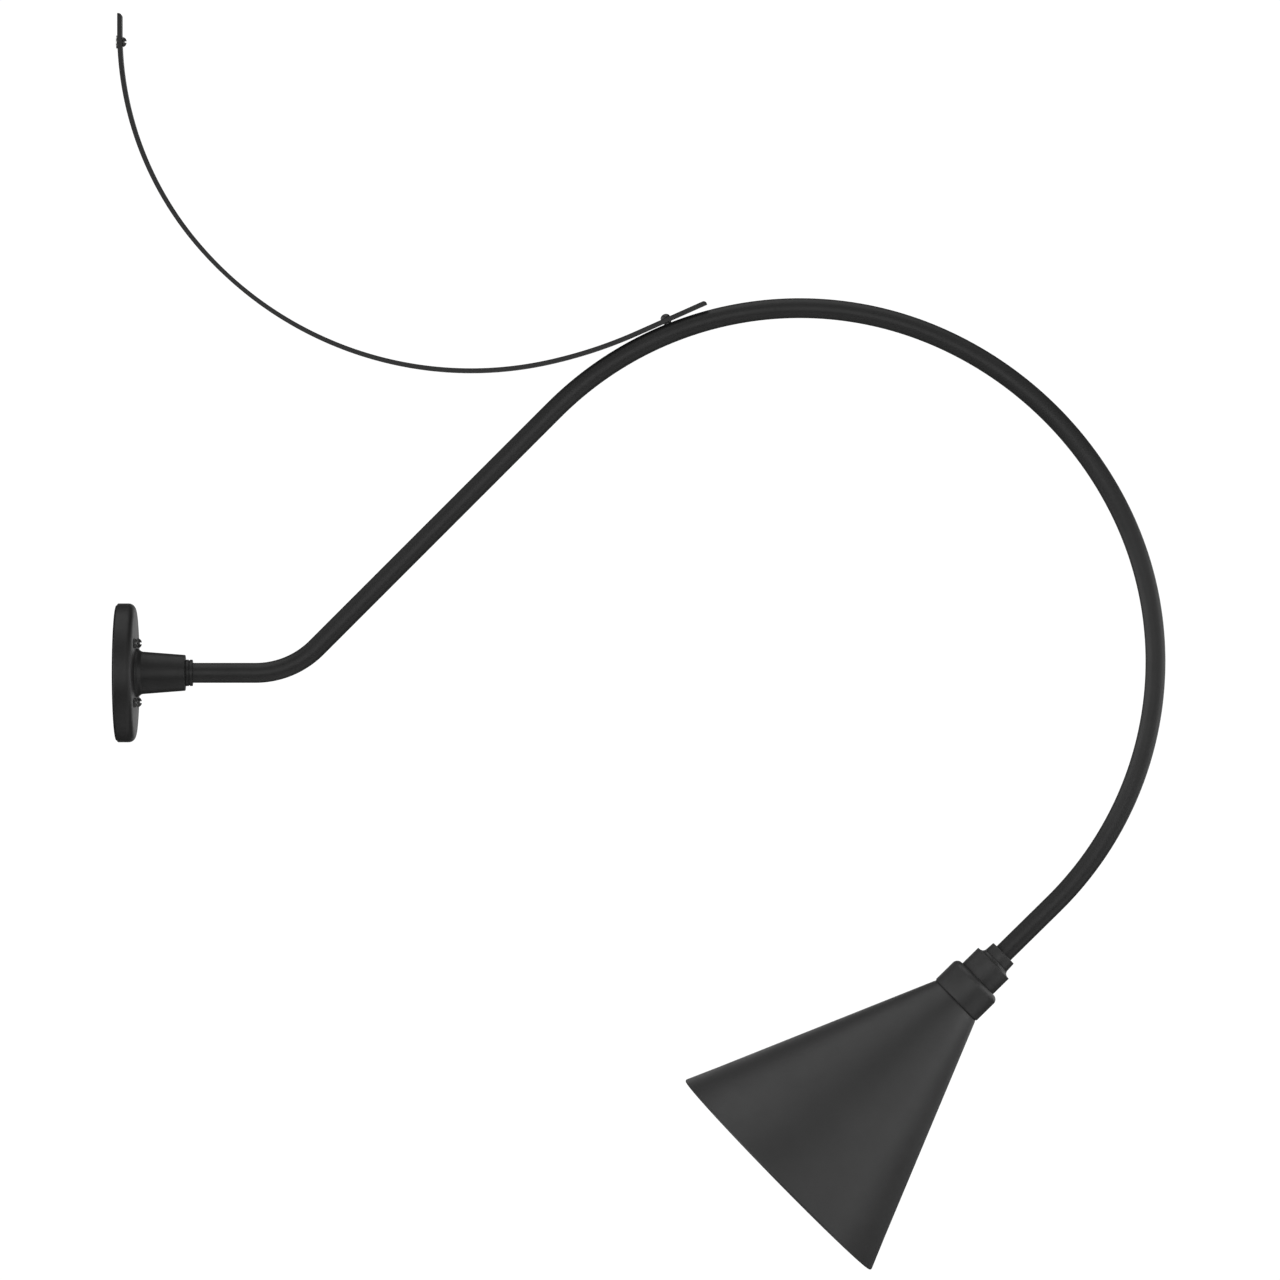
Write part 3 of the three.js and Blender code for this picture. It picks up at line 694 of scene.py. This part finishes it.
def stay_section(i):
    """The bar's section at station i, smaller where a tip is rounded off."""
    x, z, _ = stay_stations[i]
    ends = [stay_places[0], stay_places[-1]]
    distance = min(math.hypot(x - e[0], z - e[1]) for e in ends)
    top = STAY_THICK / 2 - tip_drop(distance, STAY_TIP)
    bottom = -STAY_THICK / 2
    half = STAY_WIDTH / 2 - tip_drop(distance, STAY_CORNER)
    edge = min(STAY_EDGE, (top - bottom) * 0.35)
    corners = [(bottom, -half, edge), (top, -half, edge), (top, half, edge), (bottom, half, edge)]
    return rounded(corners, steps=4)


build(
    "stay_strip", swept(stay_stations, stay_section), world, [pipe_powder_painted_shade], "arm",
    "stay_bar", cuts=[drilled(arm_screw_place), drilled(wall_screw_place)],
)
screw("stay_wall_round_head", "stay_wall_screw", "arm", wall_screw_place, wall_seat - 0.2)
screw("stay_arm_round_head", "stay_arm_screw", "arm", arm_screw_place, ARM_SCREW_LENGTH, 90)

bore = SHANK + GAP
washer_top = -STAY_THICK - 3 * GAP
washer_outline = rounded(
    [
        (bore, -wall_seat),
        (WASHER_RADIUS, -wall_seat, 0.15),
        (WASHER_RADIUS, washer_top, 0.2),
        (bore, washer_top, 0.2),
    ]
)
build(
    "stay_plain_washer", turned(washer_outline, 64), wall_screw_place, [zinc], "arm",
    "stay_washer",
)

collar_top = -STAY_THICK - 2 * GAP
collar_foot = collar_top - COLLAR_LENGTH
collar_outline = rounded(
    [
        (bore, collar_foot),
        (COLLAR_RADIUS, collar_foot),
        (COLLAR_RADIUS, collar_top, 0.2),
        (bore, collar_top, 0.2),
    ]
)
saddle = swept(arm_places, lambda i: arc(0, 0, PIPE_RADIUS + GAP, 0, 355, 71))
build(
    "stay_collar", turned(collar_outline, 64), arm_screw_place, [screw_black], "arm",
    "stay_spacer", cuts=[saddle.moved(arm_screw_place.inverted() @ world)],
)

# ---- shade head ----

head = axis_frame(tip_x, tip_z, math.degrees(tip_heading))
shade_screws = around(3, 25, 60)
strap_screws = around(2, 23, 90)

# The nut stays with the arm and the hub turns, so they are almost closed up but don't touch.
lock_outline = rounded(
    [
        (THREAD_BORE, LOCK_FROM, 0.3),
        (15.5, LOCK_FROM, 0.9),
        (16.1, LOCK_TO, 0.5),
        (THREAD_BORE, LOCK_TO),
    ]
)
build(
    "shade_lock_ring", turned(lock_outline, 96), head, [powder], "arm", "shade_lock_nut"
)

flare = [(22.6 + 6.2 * x, HUB_FROM + 4.3 * y) for x, y in arc(0, 0, 1, 180, 90, 10)]
hub_outline = [
    (THREAD_BORE, HUB_FROM),
    *flare,
    *arc(22.4, 16.0, 0.8, -70, 0, 5),
    *arc(22.9, 38.6, 0.3, 0, 90, 4),
    (13.9, HUB_TO),
    (13.9, 47.2),
    (WIRE_WAY, 47.2),
    (WIRE_WAY, 35),
    (THREAD_BORE, 35),
]
build(
    "shade_hub_casting", turned(hub_outline, 128), head, [cast_powder], "shade",
    "shade_hub",
)

nut_from, nut_to = 42.3, 46.5
hex_nut = turned(rounded([(14.2, nut_from), (19, nut_from), (19, nut_to), (14.2, nut_to)]), 6)
build("shade_hex_nut", hex_nut, head, [zinc], "shade", "hub_nut")

neck_outline = [
    (14.2, NECK_ROOF),
    (14.2, HUB_TO),
    *arc(NECK_OUTSIDE - NECK_CORNER, HUB_TO + NECK_CORNER, NECK_CORNER, -90, 0, 16),
    *arc(30.5, 70.7, 0.4, 0, 90, 3),
    (NECK_INSIDE, NECK_TO),
    (NECK_INSIDE, NECK_ROOF + 3),
    *arc(NECK_INSIDE - 3, NECK_ROOF + 3, 3, 0, -90, 6)[1:],
]
neck_joins = [rod(3.4, NECK_ROOF - 1, 48.7, x, y, 32) for x, y in strap_screws]
neck_joins += [rod(3.8, 60.1, NECK_TO, x, y, 32) for x, y in shade_screws]
neck_cuts = [rod(1.8, NECK_ROOF + 1, 49, x, y, 24) for x, y in strap_screws]
neck_cuts += [rod(1.8, 62.1, 72.1, x, y, 24) for x, y in shade_screws]
build(
    "shade_fitter", turned(neck_outline, 160), head, [cast_powder], "shade",
    "shade_neck", cuts=neck_cuts, joins=neck_joins,
)

seal_outline = rounded(
    [
        (SHADE_OPENING, NECK_TO),
        (SEAL_RADIUS, NECK_TO, 0.2),
        (SEAL_RADIUS, CONE_FROM, 0.2),
        (SHADE_OPENING, CONE_FROM),
    ]
)
build(
    "shade_seal", turned(seal_outline, 128), head, [rubber], "shade", "shade_gasket",
    cuts=[rod(SMALL_BORE, NECK_TO - 1, CONE_FROM + 1, x, y, 24) for x, y in shade_screws],
)

cone_inset = CONE_WALL / math.cos(math.atan(CONE_SLOPE))
bead_z = CONE_TO - CONE_BEAD
bead_r = bead_z * CONE_SLOPE - CONE_BEAD / math.cos(math.atan(CONE_SLOPE)) + CONE_BEAD * 0.2
bead = arc(bead_r, bead_z, CONE_BEAD, -math.degrees(math.atan(CONE_SLOPE)), 225, 24)
cone_start = rounded(
    [
        (SHADE_OPENING, CONE_FROM),
        (CONE_FROM * CONE_SLOPE, CONE_FROM, 0.9),
        (CONE_TO * CONE_SLOPE, CONE_TO),
    ]
)[:-1]
wall_steps = 8
cone_outer = []
for i in range(1, wall_steps):
    z = CONE_FROM + (bead_z - CONE_FROM) * i / wall_steps
    cone_outer.append((z * CONE_SLOPE, z))
inner_top = CONE_FROM + CONE_WALL
cone_outline = [
    *cone_start,
    *cone_outer,
    *bead,
    ((bead_z - 3.5) * CONE_SLOPE - cone_inset, bead_z - 3.5),
    (inner_top * CONE_SLOPE - cone_inset, inner_top),
    (SHADE_OPENING, inner_top),
]
white_from = len(cone_start) + len(cone_outer) + BEAD_BLACK_STEPS


def cone_finish(i):
    """Black outside, white inside."""
    return 1 if white_from <= i < len(cone_outline) - 1 else 0


build(
    "shade_cone", turned(cone_outline, 256, cone_finish), head, [powder, enamel], "shade",
    "cone_shade",
    cuts=[rod(SMALL_BORE, CONE_FROM - 1, CONE_FROM + 3, x, y, 24) for x, y in shade_screws],
)

# ---- socket ----

strap = Shape()
strap_outline = [*arc(0, 21.5, 5, 0, 180, 16), *arc(0, -21.5, 5, 180, 360, 16)]
strap_points = [(x, y, z) for z in (STRAP_FROM, STRAP_TO) for x, y in strap_outline]
count = len(strap_outline)
strap_edges = [[k, (k + 1) % count, count + (k + 1) % count, count + k] for k in range(count)]
strap.add(strap_points, [list(range(count)), list(range(count, 2 * count)), *strap_edges])
build(
    "socket_bridge", strap, head, [zinc], "shade", "socket_strap",
    joins=[rod(9, STRAP_FROM, STRAP_TO, sides=48)],
    cuts=[rod(6, 48, 52, sides=40)] + [rod(SMALL_BORE, 48, 52, x, y, 24) for x, y in strap_screws],
)
for i, (x, y) in enumerate(shade_screws):
    place = head @ Matrix.Translation((x, y, CONE_FROM + CONE_WALL + GAP))
    names = (f"shade_fixing_{i + 1}", f"shade_screw_{i + 1}")
    screw(*names, "shade", place, 9, 40 * i, SMALL_HEAD, zinc, "zinc_steel")
for i, (x, y) in enumerate(strap_screws):
    place = head @ Matrix.Translation((x, y, SOCKET_BACK))
    names = (f"bridge_fixing_{i + 1}", f"strap_screw_{i + 1}")
    screw(*names, "shade", place, 6, 25 + 50 * i, SMALL_HEAD, zinc, "zinc_steel")

socket_outline = rounded(
    [
        (0, SOCKET_BACK),
        (17, SOCKET_BACK, 1.2),
        (17, SOCKET_FLOOR, 1.0),
        (19, SOCKET_FLOOR + 3, 1.0),
        (19, SOCKET_END, 2.2),
        (14.4, SOCKET_END, 1.0),
        (14.4, SOCKET_FLOOR),
        (0, SOCKET_FLOOR),
    ],
    steps=6,
)
build(
    "socket_porcelain", turned(socket_outline, 112), head, [porcelain], "shade", "socket_body"
)


def thread_shape(z0, z1, radius, wall_thickness, depth, runout=1.5, sides=72, rows=60):
    """A thin threaded shell from z0 to z1: a helix of a crest radius that fades out at both ends."""
    shape = Shape()
    for layer in (0, 1):
        for j in range(rows + 1):
            z = z0 + (z1 - z0) * j / rows
            fade = min(1, (z - z0) / runout, (z1 - z) / runout)
            for k in range(sides):
                angle = 2 * math.pi * k / sides
                wave = 0.5 - 0.5 * math.cos(2 * math.pi * (z / THREAD_PITCH) - angle)
                r = radius - layer * wall_thickness - depth * wave * fade
                shape.points.append(Vector((r * math.cos(angle), r * math.sin(angle), z)))
    layer_size = (rows + 1) * sides
    for k in range(sides):
        n = (k + 1) % sides
        for layer in (0, layer_size):
            for j in range(rows):
                a, b = layer + j * sides, layer + (j + 1) * sides
                shape.faces.append([a + k, a + n, b + n, b + k])
        for end in (0, rows * sides):
            shape.faces.append([end + k, end + n, layer_size + end + n, layer_size + end + k])
    shape.finish = [0] * len(shape.faces)
    return shape


shell = thread_shape(SOCKET_FLOOR + 4, SOCKET_END - 2, 14.1, 0.45, 0.25)
build("socket_screw_shell", shell, head, [brass], "shade", "socket_shell", sharp=50)
contact_floor = SOCKET_FLOOR + GAP
contact_top = contact_floor + 0.8
contact_outline = rounded(
    [(0, contact_floor), (6, contact_floor, 0.2), (6, contact_top, 0.3), (0, contact_top)]
)
build(
    "socket_centre_contact", turned(contact_outline, 48), head, [brass], "shade", "socket_contact",
    joins=[block(4, 4, 3.2, SOCKET_FLOOR + 1.9)],
)

# ---- bulb ----

base = thread_shape(70.4, 91.0, 12.9, 0.5, 0.5, runout=2.5)
build("bulb_screw_base", base, head, [brass], "bulb", "bulb_base", sharp=50)
contact = [(0, 67), (2.6, 67), *arc(2.6, 69.0, 2.0, -90, -30, 5), (5.6, 70.2), (5.6, 71.5), (0, 71.5)]
build("bulb_eyelet", turned(contact, 48), head, [insulator], "bulb", "bulb_contact")


def envelope(inset):
    """The bulb's outline from its neck to its crown."""
    neck = [(11.4, 86), (11.4, 94), (14.6, 105), (21.0, 121)]
    crown = arc(0, BULB_MIDDLE, BULB_RADIUS, -34, 90, 30)
    knots = [Vector(p) for p in [neck[0], *neck, crown[0], crown[3]]]
    line = [(p.x, p.y) for p in smooth_points(knots)] + crown
    line = [(max(0.0, x - inset), y - (inset if x < 1 else 0)) for x, y in line]
    line[-1] = (0.0, BULB_MIDDLE + BULB_RADIUS - inset)
    return line


glass_outline = envelope(0) + envelope(BULB_WALL)[::-1]
build(
    "bulb_envelope", turned(glass_outline, 96), head, [frosted], "bulb", "bulb_glass",
    sharp=60,
)

# ---- leads ----


def wire(places, y):
    """A sleeved wire with its bare core showing at the cut ends."""
    sides = 20
    circle = arc(0, y, WIRE_RADIUS, 0, 360 - 360 / sides, sides - 1)
    core = arc(0, y, WIRE_RADIUS * 0.5, 0, 360 - 360 / sides, sides - 1)
    shape = swept(places, lambda i: circle, cap=False)
    for i in (0, -1):
        x, z, heading = places[i]
        ring = 0 if i == 0 else (len(places) - 1) * sides
        inner = len(shape.points)
        for left, side in core:
            shape.points.append(Vector((x - left * math.sin(heading), side, z + left * math.cos(heading))))
        for k in range(sides):
            n = (k + 1) % sides
            shape.faces.append([ring + k, ring + n, inner + n, inner + k])
            shape.finish.append(0)
        shape.faces.append([inner + k for k in range(sides)])
        shape.finish.append(1)
    return shape


lead_bends = [ARM_STUB + ARM_START - LEADS_OUT_AT, *ARM_BENDS, ARM_TAIL + STRAP_TO]
lead_places = bent_path(LEADS_OUT_AT, 0, 0, lead_bends, step=3)
for name, y, sleeve, slot, node in (
    ("hot_lead", -WIRE_APART, black_sleeve, "black_sleeve", "hot_wire"),
    ("neutral_lead", WIRE_APART, white_sleeve, "white_sleeve", "neutral_wire"),
):
    build(name, wire(lead_places, y), world, [sleeve, copper], "arm", node)

ground_knots = [Vector((10, GROUND_Z + 5.7)), Vector((9.4, -22)), Vector((6.6, -17)), Vector((1, -14))]
before = 2 * ground_knots[0] - ground_knots[1]
after = 2 * ground_knots[3] - ground_knots[2]
ground_places = [*smooth_points([before, *ground_knots, after]), ground_knots[3]]
ground_path = []
for i, p in enumerate(ground_places):
    step = ground_places[min(i + 1, len(ground_places) - 1)] - ground_places[max(i - 1, 0)]
    ground_path.append((p.x, p.y, math.atan2(step.y, step.x)))
build(
    "earth_lead", wire(ground_path, 0), world, [green_sleeve, copper], "arm", "ground_wire"
)

# ---- floor and light ----

FLOOR_Z = -2.4  # the canopy is this high above the floor, in metres
FLOOR_CORNERS = [(-0.7, -1.2), (1.8, -1.2), (1.8, 1.2), (-0.7, 1.2)]
floor_mesh = bpy.data.meshes.new("floor")
floor_mesh.from_pydata([(x, y, FLOOR_Z) for x, y in FLOOR_CORNERS], [], [(0, 1, 2, 3)])
floor = bpy.data.objects.new("floor", floor_mesh)
bpy.context.scene.collection.objects.link(floor)
floor_mesh.materials.append(shaded("pale_floor", grey(0.78), grey(0.8), (0.6, 0.7), 0.5, 0.02, 0.00002))


def add_lamp(name, kind, direction, distance, power):
    """A lamp that shines on the middle of the light from a direction; the camera doesn't see it."""
    data = bpy.data.lights.new(name, kind)
    data.energy = power
    lamp = bpy.data.objects.new(name, data)
    lamp.location = STUDIO_MIDDLE + Vector(direction).normalized() * distance
    lamp.rotation_euler = (-Vector(direction)).to_track_quat("-Z", "Y").to_euler()
    lamp.visible_camera = False
    bpy.context.scene.collection.objects.link(lamp)
    return data


STUDIO_MIDDLE = Vector((0.56, 0.0, 0.05))
BOX_DISTANCE = 3.2
BOX_SIZE = 2.2
SOFT_BOXES = {  # where each shines from, and its power in watts
    "left_front_box": ((-1, -1, 0), 25),
    "front_box": ((0, -1, 0), 23),
    "front_top_box": ((0, -1, 1), 6),
    "right_front_box": ((1, -1, 0), 16),
    "right_front_top_box": ((1, -1, 1), 4),
    "right_box": ((1, 0, 0), 30),
    "lower_front_box": ((0, -0.6, -1), 9),
    "lower_right_box": ((1, -0.4, -1), 11),
    "right_back_box": ((1, 1, 0), 14),
    "backdrop_box": ((0, 1, 0), 9),
}
# Wide suns from the left and above, which light the whole length evenly.
FAR_LIGHT_ANGLE = math.radians(60)
FAR_LIGHTS = {
    "left_wash": ((-1, 0, 0), 1.15),
    "upper_left_wash": ((-1, 0, 1), 0.2),
    "top_wash": ((0, 0, 1), 0.85),
}
for name, (direction, power) in SOFT_BOXES.items():
    lamp = add_lamp(name, "AREA", direction, BOX_DISTANCE, power)
    lamp.size = BOX_SIZE
for name, (direction, power) in FAR_LIGHTS.items():
    add_lamp(name, "SUN", direction, BOX_DISTANCE, power).angle = FAR_LIGHT_ANGLE

DOME = 0.06  # how strongly the sky lights the object
BACKDROP = 1.05  # how bright the camera sees the sky
sky = bpy.data.worlds.new("studio")
bpy.context.scene.world = sky
sky.use_nodes = True
nodes = sky.node_tree.nodes
links = sky.node_tree.links
background = nodes["Background"]
background.inputs["Color"].default_value = (1, 1, 1, 1)
background.inputs["Strength"].default_value = DOME
white = nodes.new("ShaderNodeBackground")
white.inputs["Color"].default_value = (1, 1, 1, 1)
white.inputs["Strength"].default_value = BACKDROP
rays = nodes.new("ShaderNodeLightPath")
mix = nodes.new("ShaderNodeMixShader")
links.new(rays.outputs["Is Camera Ray"], mix.inputs["Fac"])
links.new(background.outputs["Background"], mix.inputs[1])
links.new(white.outputs["Background"], mix.inputs[2])
links.new(mix.outputs["Shader"], nodes["World Output"].inputs["Surface"])
bpy.context.scene.view_settings.view_transform = "Standard"
